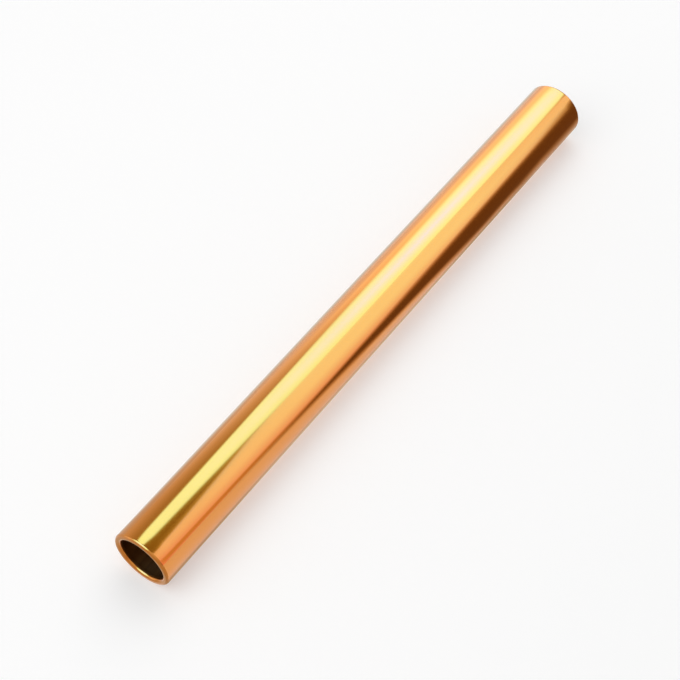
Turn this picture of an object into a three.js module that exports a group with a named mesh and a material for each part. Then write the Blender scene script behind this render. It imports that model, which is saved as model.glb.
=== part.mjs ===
// Relay baton: one seamless aluminium tube, anodised gold, whose two ends are rolled inwards
// into smooth rims. Millimetres, +Z up. The baton lies along X as it does on a table, and the
// origin is its point of balance, midway along the tube's axis.

import * as THREE from "three";

// Driving dimensions

const batonLength = 300; // from rim to rim
const outerDiameter = 27;
const wallThickness = 1;

// Rolled rim: the wall bends inwards, crosses a narrow flat land, bends again and runs back a little

const insideBendRadius = 0.25;
const landWidth = 0.4; // flat ring at the crest, which the baton stands on when it is set on end
const returnLength = 0.9; // straight stretch after the second bend
const edgeBreak = 0.2; // the cut edge's deburred corners

// Fineness of the facets, in counts

const facetsAround = 84;
const bendSteps = 6;
const insideBendSteps = 2;
const edgeSteps = 1;

// Sizes that follow from them

const halfLength = batonLength / 2;
const outerRadius = outerDiameter / 2;
const bendRadius = insideBendRadius + wallThickness; // on the skin that shows
const bendStation = halfLength - bendRadius; // where the straight wall ends
const outerBendCentre = outerRadius - bendRadius; // distances from the tube's axis
const innerBendCentre = outerBendCentre - landWidth;
const mouthRadius = innerBendCentre - bendRadius;
const cutStation = bendStation - returnLength; // where the rolled wall is cut off

const quarterTurn = Math.PI / 2;

// Points of an arc from one angle to another, as (distance from the axis, station along it)
function arc(centre, station, radius, fromAngle, toAngle, steps) {
  const curve = new THREE.EllipseCurve(
    centre,
    station,
    radius,
    radius,
    fromAngle,
    toAngle,
    toAngle < fromAngle,
  );
  return curve.getPoints(steps);
}

// The wall's outline round one rim: over the outside of the roll, round the cut edge and back
// along its inside. Straight stretches run between the arcs.
function rimOutline() {
  const cutOutside = mouthRadius + edgeBreak;
  const cutInside = mouthRadius + wallThickness - edgeBreak;
  const cutCorner = cutStation + edgeBreak;
  return [
    ...arc(outerBendCentre, bendStation, bendRadius, 0, quarterTurn, bendSteps),
    ...arc(innerBendCentre, bendStation, bendRadius, quarterTurn, 2 * quarterTurn, bendSteps),
    ...arc(cutOutside, cutCorner, edgeBreak, 2 * quarterTurn, 3 * quarterTurn, edgeSteps),
    ...arc(cutInside, cutCorner, edgeBreak, 3 * quarterTurn, 4 * quarterTurn, edgeSteps),
    ...arc(innerBendCentre, bendStation, insideBendRadius, 2 * quarterTurn, quarterTurn, insideBendSteps),
    ...arc(outerBendCentre, bendStation, insideBendRadius, quarterTurn, 0, insideBendSteps),
  ];
}

// The whole wall is a closed outline: one rim, the straight bore, the mirrored rim and the
// straight outside, turned once round the axis
function tubeGeometry() {
  const rim = rimOutline();
  const mirroredRim = rim.map((p) => new THREE.Vector2(p.x, -p.y)).reverse();
  const outline = [...rim, ...mirroredRim, rim[0]];
  const halfFacet = Math.PI / facetsAround; // puts a facet, not an edge, under the lying tube
  return new THREE.LatheGeometry(outline, facetsAround, halfFacet);
}

function goldAnodised() {
  return new THREE.MeshStandardMaterial({ color: 0xe8a24a, roughness: 0.22, metalness: 1 });
}

function batonTube() {
  const mesh = new THREE.Mesh(tubeGeometry(), goldAnodised());
  mesh.name = "baton_tube";
  mesh.rotation.z = -quarterTurn; // the lathe turns about Y, and the baton lies along X
  return mesh;
}

const baton = new THREE.Group();
baton.add(batonTube());

export default baton;
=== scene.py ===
"""Looks of a relay baton: a gold anodised tube with rolled rims, lying on a pale studio floor.

Metres, +Z up. The baton lies along X, and the origin is midway along its axis. Its near end is
the one at -X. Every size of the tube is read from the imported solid, so the finer mesh made here
fills the same space.
"""

import math

import bmesh
import bpy
from mathutils import Matrix, Vector


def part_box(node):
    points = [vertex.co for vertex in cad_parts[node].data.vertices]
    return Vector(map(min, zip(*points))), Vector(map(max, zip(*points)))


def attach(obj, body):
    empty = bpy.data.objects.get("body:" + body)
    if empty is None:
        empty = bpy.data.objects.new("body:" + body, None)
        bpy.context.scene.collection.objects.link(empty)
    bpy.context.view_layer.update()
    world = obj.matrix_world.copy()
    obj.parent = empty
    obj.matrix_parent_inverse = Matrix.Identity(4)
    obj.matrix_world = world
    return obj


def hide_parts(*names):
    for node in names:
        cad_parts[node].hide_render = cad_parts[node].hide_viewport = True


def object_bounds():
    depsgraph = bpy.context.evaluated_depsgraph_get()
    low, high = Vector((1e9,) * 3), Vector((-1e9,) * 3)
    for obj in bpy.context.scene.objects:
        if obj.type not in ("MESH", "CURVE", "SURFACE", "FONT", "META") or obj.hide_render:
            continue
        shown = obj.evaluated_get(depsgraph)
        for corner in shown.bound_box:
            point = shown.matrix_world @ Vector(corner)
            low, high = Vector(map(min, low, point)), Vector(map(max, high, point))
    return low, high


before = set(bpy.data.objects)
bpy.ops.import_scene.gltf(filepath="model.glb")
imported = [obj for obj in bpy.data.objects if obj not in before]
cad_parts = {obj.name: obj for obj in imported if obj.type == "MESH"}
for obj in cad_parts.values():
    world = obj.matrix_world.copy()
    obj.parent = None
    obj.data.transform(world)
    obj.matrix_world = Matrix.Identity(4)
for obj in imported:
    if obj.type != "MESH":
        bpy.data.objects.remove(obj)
cad_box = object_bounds()

NODE = "baton_tube"

# Fineness of the visual mesh, in counts

AROUND = 288
BEND_STEPS = 14
TIGHT_BEND_STEPS = 5
EDGE_STEPS = 3
WALL_STRETCHES = 60

# Reading the solid's rings of points

DECIMALS = 6  # kept of a point's metres
TINY = 1e-5  # tells one ring from the next, in metres

QUARTER_TURN = math.pi / 2

# Most of a noise texture's values lie between these

NOISE_LOW = 0.3
NOISE_HIGH = 0.7

# Brightness of the studio, where one is white

FLOOR_GLOW = 0.32
FLOOR_SHOWN = 0.07  # what the camera sees of the floor on top of that
ROOM_LIGHT = 0.5
ROOM_SHOWN = 0.95
SOFTBOX_LIGHT = 1.7

# Colours that several pieces of the studio share

WHITE = (1, 1, 1)
WARM = (1, 0.65, 0.2)  # dyes what shows through the fading edge of a dark cloth
DARK_BROWN = (0.15, 0.085, 0.035)

# Places in the studio, in metres. Directions are from the baton

FLOOR_HEIGHT = cad_box[0][2]  # the solid's lowest point
FLOOR_REACH = 6.0
LAYER = 0.0001  # from one cloth that lies on the floor to the next
OVERHEAD = (0.52, 0.30, 0.80)  # to the softbox over the far end
SIDEWAYS = (0.45, -0.70, 0.55)  # to the reflector by the far end
SOFTBOX_DISTANCE = 1.2
WALL_DISTANCE = 1.25
CEILING_DISTANCE = 1.3
REFLECTOR_DISTANCE = 1.2
FLAG_DISTANCE = 0.6
END_FLAG_DISTANCE = 2.0

# The camera of the photograph, found by fitting the tube's outline

CAMERA_PLACE = (-0.35139, -0.24202, 0.54826)
CAMERA_RIGHT = (0.591, -0.8067, 0)
CAMERA_BACK = (-0.4840, -0.3546, 0.8000)
SENSOR_MM = 36
FOCAL_MM = 86.18
CLIP_NEAR = 0.01
CLIP_FAR = 50


# Sizes of the tube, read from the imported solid


class Rim:
    """The rolled rim's sizes. Radii are from the tube's axis, and stations are from its middle."""

    def __init__(self, node):
        places = [vertex.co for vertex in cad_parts[node].data.vertices]
        rings = {
            (round(abs(place.x), DECIMALS), round(math.hypot(place.y, place.z), DECIMALS))
            for place in places
        }
        radii = [radius for _, radius in rings]
        self.half_length = max(station for station, _ in rings)
        land = [radius for station, radius in rings if self.half_length - station < TINY]
        self.bend_outer = max(radii) - max(land)
        self.bend_station = self.half_length - self.bend_outer
        bend = self.bend_station
        walls = sorted(radius for station, radius in rings if abs(station - bend) < TINY)
        self.wall = walls[-1] - walls[-2]
        self.bend_inner = self.bend_outer - self.wall
        # The solid's facets cut inside its corners, and its box is what the finer mesh may fill
        low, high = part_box(node)
        self.outer_radius = (high.z - low.z) / 2
        self.first_centre = self.outer_radius - self.bend_outer
        self.second_centre = self.first_centre - (max(land) - min(land))
        self.mouth_radius = self.second_centre - self.bend_outer
        self.cut_station = min(station for station, _ in rings)
        cut = [radius for station, radius in rings if station - self.cut_station < TINY]
        self.edge_break = min(cut) - min(radii)


# Mesh of the tube


def arc(centre, station, radius, start, end, steps):
    """Points (station, distance from the axis) of an arc round a centre at that distance from the
    axis and that station. Its angles are in quarter turns."""
    points = []
    for i in range(steps + 1):
        angle = (start + (end - start) * i / steps) * QUARTER_TURN
        points.append((station + radius * math.sin(angle), centre + radius * math.cos(angle)))
    return points


def rim_outline(rim):
    """Once over the far roll from the outer wall to the cut edge, and back along its inside."""
    cut_low = rim.mouth_radius + rim.edge_break
    cut_high = rim.mouth_radius + rim.wall - rim.edge_break
    corner = rim.cut_station + rim.edge_break
    bend, tight = rim.bend_outer, rim.bend_inner
    return [
        *arc(rim.first_centre, rim.bend_station, bend, 0, 1, BEND_STEPS),
        *arc(rim.second_centre, rim.bend_station, bend, 1, 2, BEND_STEPS),
        *arc(cut_low, corner, rim.edge_break, 2, 3, EDGE_STEPS),
        *arc(cut_high, corner, rim.edge_break, 3, 4, EDGE_STEPS),
        *arc(rim.second_centre, rim.bend_station, tight, 2, 1, TIGHT_BEND_STEPS),
        *arc(rim.first_centre, rim.bend_station, tight, 1, 0, TIGHT_BEND_STEPS),
    ]


def straight(start, end, steps):
    """Points between two ends of a straight wall, without the ends themselves."""
    (x0, r0), (x1, r1) = start, end
    return [
        (x0 + (x1 - x0) * i / steps, r0 + (r1 - r0) * i / steps) for i in range(1, steps)
    ]


def wall_outline(rim):
    """The closed outline of the wall, and which of its points lie inside the tube."""
    far_rim = rim_outline(rim)
    near_rim = [(-x, r) for x, r in reversed(far_rim)]
    bore = straight(far_rim[-1], near_rim[0], WALL_STRETCHES)
    skin = straight(near_rim[-1], far_rim[0], WALL_STRETCHES)
    outline = [*far_rim, *bore, *near_rim, *skin]
    bore_radius = rim.first_centre + rim.bend_inner
    bore_end = rim.bend_station + rim.bend_inner
    inside = [r < bore_radius + TINY and abs(x) < bore_end + TINY for x, r in outline]
    return outline, inside


def spin(name, outline, inside):
    """The outline turned once round the X axis. Faces inside the tube take the second material."""
    mesh = bmesh.new()
    rings = []
    for x, radius in outline:
        ring = []
        for j in range(AROUND):
            turn = 2 * math.pi * j / AROUND
            ring.append(mesh.verts.new((x, radius * math.sin(turn), radius * math.cos(turn))))
        rings.append(ring)
    for i, ring in enumerate(rings):
        after = rings[(i + 1) % len(rings)]
        in_bore = inside[i] and inside[(i + 1) % len(rings)]
        for j in range(AROUND):
            k = (j + 1) % AROUND
            face = mesh.faces.new((ring[j], ring[k], after[k], after[j]))
            face.smooth = True
            face.material_index = 1 if in_bore else 0
    bmesh.ops.recalc_face_normals(mesh, faces=mesh.faces)
    data = bpy.data.meshes.new(name)
    mesh.to_mesh(data)
    mesh.free()
    piece = bpy.data.objects.new(name, data)
    bpy.context.scene.collection.objects.link(piece)
    return piece


# Material helpers


def add(tree, kind, **properties):
    """A new node, with its own properties set."""
    node = tree.nodes.new(kind)
    for name, value in properties.items():
        setattr(node, name, value)
    return node


def calculate(tree, operation, first, second):
    """A value worked out from two others."""
    node = add(tree, "ShaderNodeMath", operation=operation)
    tree.links.new(first, node.inputs[0])
    tree.links.new(second, node.inputs[1])
    return node.outputs["Value"]


def ramp(tree, value, start=0, end=1, low=0, high=1, shape="SMOOTHSTEP"):
    """A value mapped from low to high as it goes from start to end."""
    node = add(tree, "ShaderNodeMapRange", interpolation_type=shape)
    node.inputs["From Min"].default_value = start
    node.inputs["From Max"].default_value = end
    node.inputs["To Min"].default_value = low
    node.inputs["To Max"].default_value = high
    tree.links.new(value, node.inputs["Value"])
    return node.outputs["Result"]


def blend(tree, factor, first, second):
    """A colour between two, each a colour or a socket. Either may be brighter than white."""
    mix = add(tree, "ShaderNodeMix", data_type="RGBA", clamp_result=False)
    colours = [socket for socket in mix.inputs if socket.type == "RGBA"]
    for socket, value in zip(colours, (first, second)):
        if isinstance(value, tuple):
            socket.default_value = (*value, 1)
        else:
            tree.links.new(value, socket)
    tree.links.new(factor, mix.inputs["Factor"])
    return next(socket for socket in mix.outputs if socket.type == "RGBA")


def own_place(tree):
    """Where a point is in its object's own coordinates."""
    return add(tree, "ShaderNodeTexCoord").outputs["Object"]


def along_axis(tree, axis):
    """How far along one of its object's own axes a point is."""
    split = add(tree, "ShaderNodeSeparateXYZ")
    tree.links.new(own_place(tree), split.inputs["Vector"])
    return split.outputs[axis]


def noise(tree, stretch, scale, detail):
    """Noise over the object's own coordinates, which are multiplied by stretch first. It runs from
    zero to one over the range that most of its values lie in."""
    mapping = add(tree, "ShaderNodeMapping")
    mapping.inputs["Scale"].default_value = stretch
    tree.links.new(own_place(tree), mapping.inputs["Vector"])
    texture = add(tree, "ShaderNodeTexNoise")
    texture.inputs["Scale"].default_value = scale
    texture.inputs["Detail"].default_value = detail
    tree.links.new(mapping.outputs["Vector"], texture.inputs["Vector"])
    return ramp(tree, texture.outputs["Fac"], start=NOISE_LOW, end=NOISE_HIGH, shape="LINEAR")


def shaded(name):
    """A new material with its node tree and its Principled shader."""
    material = bpy.data.materials.new(name)
    material.use_nodes = True
    return material, material.node_tree, material.node_tree.nodes["Principled BSDF"]


# Materials of the baton


def gold_skin():
    """Polished aluminium under a gold dyed anodic film: tinted metal with a clear, hard coat. The
    dye is a little uneven, and faint lines of the drawing die run along the tube."""
    deep_dye = (0.82, 0.29, 0.032)
    pale_dye = (0.84, 0.305, 0.037)

    material, tree, shader = shaded("gold_anodised")
    shader.inputs["Metallic"].default_value = 1.0
    shader.inputs["Coat Weight"].default_value = 1.0
    shader.inputs["Coat Roughness"].default_value = 0.06
    shader.inputs["Coat IOR"].default_value = 1.6

    patches = noise(tree, stretch=(1, 1, 1), scale=25, detail=3)
    tree.links.new(blend(tree, patches, deep_dye, pale_dye), shader.inputs["Base Color"])

    lines = noise(tree, stretch=(0.004, 1, 1), scale=2200, detail=4)
    roughness = ramp(tree, lines, low=0.12, high=0.16, shape="LINEAR")
    tree.links.new(roughness, shader.inputs["Roughness"])
    return material


def gold_bore():
    """The inside of the tube: the same film over metal left as it was drawn, so duller, with
    painted shade: its colour is far darker than the outside's.
    """
    # Both colours here are the dye darkened by painted shade inside the tube.
    deep_dye = (0.32, 0.13, 0.04)
    pale_dye = (0.40, 0.17, 0.05)

    material, tree, shader = shaded("gold_bore")
    shader.inputs["Metallic"].default_value = 1.0

    lines = noise(tree, stretch=(0.01, 1, 1), scale=900, detail=5)
    tree.links.new(blend(tree, lines, deep_dye, pale_dye), shader.inputs["Base Color"])
    roughness = ramp(tree, lines, low=0.38, high=0.5, shape="LINEAR")
    tree.links.new(roughness, shader.inputs["Roughness"])
    return material


# Floor and room


def shown_directly(tree):
    """One for camera, glossy and transmission rays, and zero for the light that falls on things."""
    path = add(tree, "ShaderNodeLightPath")
    shown = path.outputs["Is Camera Ray"]
    for ray in ("Is Glossy Ray", "Is Transmission Ray"):
        shown = calculate(tree, "MAXIMUM", shown, path.outputs[ray])
    return shown


def put_on_stage(name, points, faces, material):
    """A piece of the studio, which isn't part of the baton."""
    data = bpy.data.meshes.new(name)
    data.from_pydata(points, [], faces)
    data.materials.append(material)
    piece = bpy.data.objects.new(name, data)
    bpy.context.scene.collection.objects.link(piece)
    return piece


def studio_floor():
    """A wide pale floor. It glows a little where it is seen or mirrored, so that it shows close to
    white, and it keeps the baton's shadow."""
    pale_grey = (0.62, 0.62, 0.62)

    material, tree, shader = shaded("pale_floor")
    shader.inputs["Base Color"].default_value = (*pale_grey, 1)
    shader.inputs["Roughness"].default_value = 1.0
    shader.inputs["Specular IOR Level"].default_value = 0.0
    shader.inputs["Emission Color"].default_value = (*WHITE, 1)
    camera_ray = add(tree, "ShaderNodeLightPath").outputs["Is Camera Ray"]
    level = ramp(tree, camera_ray, low=FLOOR_GLOW, high=FLOOR_GLOW + FLOOR_SHOWN)
    strength = calculate(tree, "MULTIPLY", shown_directly(tree), level)
    tree.links.new(strength, shader.inputs["Emission Strength"])

    sides = [(-1, -1), (1, -1), (1, 1), (-1, 1)]
    corners = [(FLOOR_REACH * x, FLOOR_REACH * y, FLOOR_HEIGHT) for x, y in sides]
    put_on_stage("floor", corners, [range(len(corners))], material)


def world_light():
    """An even pale room: brighter where it is seen or mirrored than as a lamp."""
    world = bpy.data.worlds.new("studio")
    bpy.context.scene.world = world
    world.use_nodes = True
    tree = world.node_tree
    background = tree.nodes["Background"]
    background.inputs["Color"].default_value = (*WHITE, 1)
    level = ramp(tree, shown_directly(tree), low=ROOM_LIGHT, high=ROOM_SHOWN)
    tree.links.new(level, background.inputs["Strength"])


# Helpers for the cards that the baton mirrors: cloths, flags, painted shade and painted reflections


def glow(name, tint=WHITE, steep=False):
    """A material that only shines, with its tree and its colour's socket. It fades out towards its
    card's edge, steeply if asked, and the tint dyes what shows through there."""
    material = bpy.data.materials.new(name)
    material.use_nodes = True
    tree = material.node_tree
    tree.nodes.clear()
    solid = add(tree, "ShaderNodeAttribute", attribute_name="solid").outputs["Fac"]
    cover = ramp(tree, solid)
    if steep:
        slope = ramp(tree, solid, low=2, high=1, shape="LINEAR")
        cover = calculate(tree, "MULTIPLY", solid, slope)
    shine = add(tree, "ShaderNodeEmission")
    clear = add(tree, "ShaderNodeBsdfTransparent")
    mix = add(tree, "ShaderNodeMixShader")
    output = add(tree, "ShaderNodeOutputMaterial")
    tree.links.new(blend(tree, solid, WHITE, tint), clear.inputs["Color"])
    tree.links.new(cover, mix.inputs["Fac"])
    tree.links.new(clear.outputs["BSDF"], mix.inputs[1])
    tree.links.new(shine.outputs["Emission"], mix.inputs[2])
    tree.links.new(mix.outputs["Shader"], output.inputs["Surface"])
    return material, tree, shine.inputs["Color"]


def plain_glow(name, colour, tint=WHITE):
    """A shining material of one colour."""
    material, _, socket = glow(name, tint)
    socket.default_value = (*colour, 1)
    return material


def card(name, corners, place, material, lights=False):
    """A flat card that the camera doesn't see, and that mirrors alone see unless it lights things.
    Each corner is a pair of places, where the card has faded out and where it is still solid, and
    the place function gives the point in space for the two numbers of either."""
    count = len(corners)
    points = [place(*faded) for faded, _ in corners]
    points += [place(*solid) for _, solid in corners]
    faces = [range(count, 2 * count)]
    faces += [(i, (i + 1) % count, count + (i + 1) % count, count + i) for i in range(count)]
    piece = put_on_stage(name, points, faces, material)
    solidity = piece.data.attributes.new("solid", "FLOAT", "POINT")
    solidity.data.foreach_set("value", [0.0] * count + [1.0] * count)
    piece.visible_camera = False
    piece.visible_diffuse = lights
    piece.visible_shadow = lights
    return piece


def facing_card(name, direction, distance, corners, material, side=1, lights=False):
    """A card square to a direction from the baton. Its corners are (along, across) from its middle:
    along leans with +X, and across with +Y. Side -1 mirrors it to the near end."""
    away = Vector(direction).normalized()
    along = (Vector((1, 0, 0)) - away * away.x).normalized()
    across = away.cross(along)
    piece = card(name, corners, lambda u, v: (u, v, 0), material, lights)
    turned = Matrix((along, across, away)).transposed().to_4x4()
    mirror = Matrix.Diagonal((side, 1, 1, 1))
    piece.matrix_world = mirror @ Matrix.Translation(away * distance) @ turned


def lying_card(name, corners, material, layer):
    """A card that lies on the floor, whose corners are (x, y). Cloths, painted shade and painted
    reflections lie there. Higher layers lie on lower ones.
    """
    height = FLOOR_HEIGHT + layer * LAYER
    card(name, corners, lambda x, y: (x, y, height), material)


# Lights, reflectors and what is behind them


def softbox_cloth():
    """The cloth of both softboxes. Mirrors see it brightest and coolest in an oval round the lamp
    behind it, and the light that it casts is plain white."""
    lamp = (0.08, -0.09, 0)
    squeeze = (1.17, 1, 1)  # the oval is narrower along the baton than across it
    lamp_reach = 0.71
    off_lamp = (1.2, 2.52, 2.6)
    at_lamp = (1.17, 2.36, 7.5)
    cast = (SOFTBOX_LIGHT, SOFTBOX_LIGHT, SOFTBOX_LIGHT)

    material, tree, colour = glow("softbox")
    offset = add(tree, "ShaderNodeVectorMath", operation="SUBTRACT")
    offset.inputs[1].default_value = lamp
    tree.links.new(own_place(tree), offset.inputs[0])
    oval = add(tree, "ShaderNodeVectorMath", operation="MULTIPLY")
    oval.inputs[1].default_value = squeeze
    tree.links.new(offset.outputs["Vector"], oval.inputs[0])
    length = add(tree, "ShaderNodeVectorMath", operation="LENGTH")
    tree.links.new(oval.outputs["Vector"], length.inputs[0])
    by_lamp = ramp(tree, length.outputs["Value"], end=lamp_reach, low=1, high=0, shape="LINEAR")
    peak = calculate(tree, "MULTIPLY", by_lamp, by_lamp)
    mirrored = blend(tree, peak, off_lamp, at_lamp)
    tree.links.new(blend(tree, shown_directly(tree), cast, mirrored), colour)
    return material


def softboxes():
    """A softbox over each end, the two lamps of the studio."""
    material = softbox_cloth()
    corners = [
        ((-0.75, -0.22), (-0.70, -0.17)),
        ((-0.46, -0.43), (-0.42, -0.33)),
        ((0.16, -1.10), (0.14, -0.95)),
        ((0.38, -1.10), (0.34, -0.95)),
        ((0.44, -0.62), (0.38, -0.50)),
        ((0.84, -0.36), (0.72, -0.28)),
        ((0.74, 0.52), (0.60, 0.05)),
        ((0.42, 0.74), (0.36, 0.17)),
        ((0.16, 0.67), (0.14, 0.31)),
        ((-0.28, 0.41), (-0.23, 0.315)),
        ((-0.60, 0.17), (-0.54, 0.11)),
    ]
    for name, side in (("far_softbox", 1), ("near_softbox", -1)):
        facing_card(name, OVERHEAD, SOFTBOX_DISTANCE, corners, material, side, lights=True)


def wall_glow():
    """Light that the far softbox spills on the wall behind it."""
    pale_green = (1.38, 1.42, 1.24)
    corners = [
        ((-0.15, 0.2), (0.12, 0.2)),
        ((0.12, 1.5), (0.30, 0.9)),
        ((0.95, 1.35), (0.80, 0.75)),
        ((1.3, 0.2), (0.90, 0.2)),
    ]
    material = plain_glow("wall_glow", pale_green)
    facing_card("wall_glow", OVERHEAD, WALL_DISTANCE, corners, material)


def ceiling():
    """The unlit ceiling between the lights, olive by them and a paler brown further off. Its two
    halves overlap over the middle of the baton."""
    olive = (0.28, 0.235, 0.05)
    pale_brown = (0.66, 0.58, 0.42)

    material, tree, colour = glow("ceiling")
    further = ramp(tree, along_axis(tree, "Y"), start=-0.5, end=2.0)
    tree.links.new(blend(tree, further, olive, pale_brown), colour)
    corners = [
        ((0.12, -2.0), (-0.10, -1.9)),
        ((0.15, 0.0), (-0.30, 0.0)),
        ((0.20, 0.9), (-0.28, 0.9)),
        ((0.80, 3.4), (0.28, 3.2)),
        ((-1.02, 3.4), (-1.02, 3.2)),
        ((-1.02, -2.0), (-1.02, -1.9)),
    ]
    for name, side in (("far_ceiling", 1), ("near_ceiling", -1)):
        facing_card(name, OVERHEAD, CEILING_DISTANCE, corners, material, side)


def reflector_cloth(name, dim, bright):
    """The cloth of a reflector, brightest in the middle of its top."""
    material, tree, colour = glow(name)
    rise = ramp(tree, along_axis(tree, "Y"), start=-0.75, end=0.12, low=0.5)
    start = ramp(tree, along_axis(tree, "X"), start=-0.40, end=0.05, low=0.64)
    finish = ramp(tree, along_axis(tree, "X"), start=0.20, end=0.46, low=1, high=0.78)
    level = calculate(tree, "MULTIPLY", rise, calculate(tree, "MULTIPLY", start, finish))
    tree.links.new(blend(tree, level, dim, bright), colour)
    return material


def reflectors():
    """Two cloth reflectors low on the -Y side: a bright one by the far end and a dimmer one by the
    near end. Both are redder where they are dim."""
    far_cloth = reflector_cloth("far_reflector", dim=(0.9, 0, 0), bright=(1.17, 1.69, 1.87))
    near_cloth = reflector_cloth("near_reflector", dim=(0.25, 0, 0), bright=(0.7, 0.7, 0.5))
    corners = [
        ((-0.70, -0.95), (-0.68, -0.93)),
        ((1.50, -0.95), (1.48, -0.93)),
        ((1.50, 0.20), (1.48, 0.18)),
        ((0.54, 0.57), (0.50, 0.50)),
        ((0.44, 0.80), (0.40, 0.45)),
        ((0.16, 0.84), (0.13, 0.55)),
        ((-0.02, 0.86), (-0.03, 0.77)),
        ((-0.70, -0.46), (-0.68, -0.50)),
    ]
    facing_card("far_reflector", SIDEWAYS, REFLECTOR_DISTANCE, corners, far_cloth)
    facing_card("near_reflector", SIDEWAYS, REFLECTOR_DISTANCE, corners, near_cloth, side=-1)


# Cloths that stand on the floor


def standing_flag():
    """A dark cloth that stands on the -Y side. Its corners are (x, z). Its top is high by the far
    end and falls to a narrow, paler tongue that ends beside the middle of the baton."""
    tongue_brown = (0.66, 0.45, 0.20)

    material, tree, colour = glow("standing_flag", WARM, steep=True)
    darker = ramp(tree, along_axis(tree, "X"), start=0.07, end=0.38)
    tree.links.new(blend(tree, darker, tongue_brown, DARK_BROWN), colour)
    corners = [
        ((0.02, 0.23), (0.05, 0.15)),
        ((0.17, 0.12), (0.17, 0.043)),
        ((0.26, 0.07), (0.255, -0.08)),
        ((0.32, 0.09), (0.31, -0.08)),
        ((0.37, 0.14), (0.37, -0.065)),
        ((0.615, 0.285), (0.60, 0.095)),
        ((0.80, 0.54), (0.75, 0.25)),
        ((3.0, 3.4), (2.9, 1.8)),
        ((3.0, -0.10), (2.9, -0.099)),
        ((0.21, -0.10), (0.23, -0.099)),
        ((0.165, -0.02), (0.17, 0.022)),
        ((0.02, 0.04), (0.05, 0.13)),
    ]
    card("standing_flag", corners, lambda x, z: (x, -FLAG_DISTANCE, z), material)


def end_flag(name, side, half_width, top, colour):
    """A dark cloth that stands beyond an end, where the rim mirrors it. Side -1 is the near end."""
    soft = 0.3
    inner = half_width - soft
    corners = [
        ((-half_width, FLOOR_HEIGHT), (-inner, FLOOR_HEIGHT)),
        ((half_width, FLOOR_HEIGHT), (inner, FLOOR_HEIGHT)),
        ((half_width, top + soft), (inner, top)),
        ((-half_width, top + soft), (-inner, top)),
    ]
    card(name, corners, lambda y, z: (side * END_FLAG_DISTANCE, y, z), plain_glow(name, colour))


# Cloths, painted shade and painted reflections that lie on the floor


def dark_cloth():
    """A dark cloth from the foot of the standing one to the baton."""
    corners = [
        ((0.17, -FLAG_DISTANCE), (0.25, -FLAG_DISTANCE)),
        ((-0.02, -0.279), (0.10, -0.279)),
        ((-0.045, -0.085), (0.03, -0.095)),
        ((-0.02, -0.043), (0.033, -0.053)),
        ((0.05, -0.016), (0.065, -0.037)),
        ((0.083, -0.011), (0.083, -0.031)),
        ((0.113, -0.003), (0.113, -0.034)),
        ((0.143, 0.004), (0.143, -0.039)),
        ((3.0, 0.004), (3.0, -0.039)),
        ((3.0, -FLAG_DISTANCE), (3.0, -FLAG_DISTANCE)),
    ]
    lying_card("dark_cloth", corners, plain_glow("dark_cloth", DARK_BROWN, WARM), layer=1)


def near_end_cloth():
    """A pale cloth beyond the near end."""
    pale_tan = (0.53, 0.45, 0.29)
    corners = [
        ((-0.148, -0.6), (-0.156, -0.5)),
        ((-0.148, 0.6), (-0.156, 0.5)),
        ((-3.0, 1.2), (-2.9, 1.1)),
        ((-3.0, -1.2), (-2.9, -1.1)),
    ]
    lying_card("near_end_cloth", corners, plain_glow("near_end_cloth", pale_tan), layer=2)


def back_painted_shade():
    """Painted shade on the floor on the +Y side of the near half: a grey-brown card that mirrors
    alone see. It spreads towards the far end as it goes away from the baton."""
    # painted shade: darker than the floor around it, as the baton mirrors it
    pale_grey_brown = (0.64, 0.60, 0.52)
    corners = [
        ((-0.3, 0.015), (-0.3, 0.035)),
        ((0.02, 0.015), (-0.14, 0.035)),
        ((0.10, 0.12), (-0.09, 0.12)),
        ((1.4, 3.0), (0.8, 2.9)),
        ((-3.0, 3.0), (-2.9, 2.9)),
        ((-3.0, 0.6), (-2.9, 0.65)),
    ]
    lying_card("back_painted_shade", corners, plain_glow("back_painted_shade", pale_grey_brown), layer=3)


def shade_line():
    """A thin line of shade along the -Y side, from beyond the near end to past the middle of the
    baton. It is palest by the middle."""
    end_shade = (0.45, 0.36, 0.22)
    middle_shade = (0.60, 0.54, 0.40)

    material, tree, colour = glow("shade_line")
    start = ramp(tree, along_axis(tree, "X"), start=-0.12, end=-0.07)
    finish = ramp(tree, along_axis(tree, "X"), start=0.03, end=0.08, low=1, high=0)
    middle = calculate(tree, "MULTIPLY", start, finish)
    tree.links.new(blend(tree, middle, end_shade, middle_shade), colour)
    corners = [
        ((-0.3, -0.0065), (-0.3, -0.0115)),
        ((0.14, -0.0105), (0.09, -0.013)),
        ((0.14, -0.019), (0.09, -0.016)),
        ((-0.3, -0.024), (-0.3, -0.0145)),
    ]
    lying_card("shade_line", corners, material, layer=3)


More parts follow.
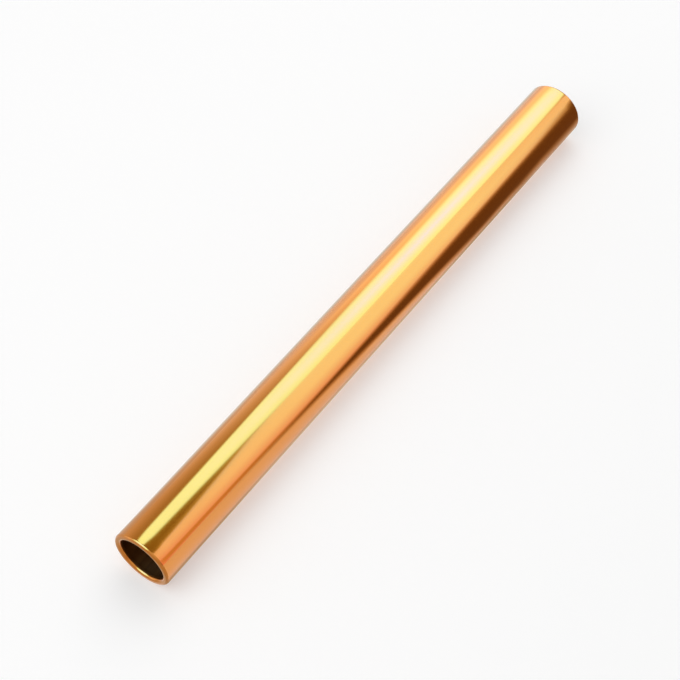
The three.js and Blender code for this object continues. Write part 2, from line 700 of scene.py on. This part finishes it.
def front_painted_reflection():
    """A card under the baton's -Y side that shines at twice white and lights nothing: a painted
    reflection, which the baton mirrors next to its outline.
    """
    # painted reflection: brighter than white, seen only in mirrors
    bright_white = (2.1, 2.15, 2.05)
    corners = [
        ((-0.150, -0.0135), (-0.06, -0.004)),
        ((0.20, -0.0135), (0.10, -0.004)),
        ((0.20, 0.002), (0.10, 0.0)),
        ((-0.150, 0.002), (-0.06, 0.0)),
    ]
    lying_card("front_painted_reflection", corners, plain_glow("front_painted_reflection", bright_white), layer=4)


def back_painted_reflection():
    """A card under the baton's +Y side and beside it, dimmer and bluer outwards. It shines by
    itself and lights nothing: a painted reflection in the baton's +Y side.
    """
    # painted reflection, brightest beside the baton
    by_baton = (1.10, 1.13, 1.07)
    further_out = (0.71, 0.83, 0.85)

    material, tree, colour = glow("back_painted_reflection")
    outwards = ramp(tree, along_axis(tree, "Y"), start=0.022, end=0.036)
    tree.links.new(blend(tree, outwards, by_baton, further_out), colour)
    corners = [
        ((-0.150, 0.002), (-0.149, 0.004)),
        ((0.30, 0.002), (0.28, 0.004)),
        ((0.30, 0.12), (0.28, 0.040)),
        ((0.0, 0.12), (0.0, 0.040)),
        ((-0.150, 0.042), (-0.149, 0.018)),
    ]
    lying_card("back_painted_reflection", corners, material, layer=4)


# Camera


def photo_camera():
    """A camera at the photograph's viewing angle, with its frame."""
    right = Vector(CAMERA_RIGHT).normalized()
    back = Vector(CAMERA_BACK).normalized()
    up = back.cross(right)
    lens = bpy.data.cameras.new("camera")
    lens.sensor_width = SENSOR_MM
    lens.lens = FOCAL_MM
    lens.clip_start = CLIP_NEAR
    lens.clip_end = CLIP_FAR
    camera = bpy.data.objects.new("camera", lens)
    turned = Matrix((right, up, back)).transposed().to_4x4()
    camera.matrix_world = Matrix.Translation(CAMERA_PLACE) @ turned
    bpy.context.scene.collection.objects.link(camera)
    bpy.context.scene.camera = camera


# The baton

rim = Rim(NODE)
tube = spin("tube", *wall_outline(rim))
tube.data.materials.append(gold_skin())
tube.data.materials.append(gold_bore())
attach(tube, "root")
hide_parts(NODE)

# The studio

studio_floor()
world_light()
softboxes()
wall_glow()
ceiling()
reflectors()
standing_flag()
end_flag("far_end_flag", side=1, half_width=1.3, top=0.9, colour=(0.42, 0.30, 0.16))
end_flag("near_end_flag", side=-1, half_width=1.8, top=1.3, colour=(0.48, 0.38, 0.24))
dark_cloth()
near_end_cloth()
back_painted_shade()
shade_line()
front_painted_reflection()
back_painted_reflection()
photo_camera()

bpy.context.scene.view_settings.view_transform = "Standard"
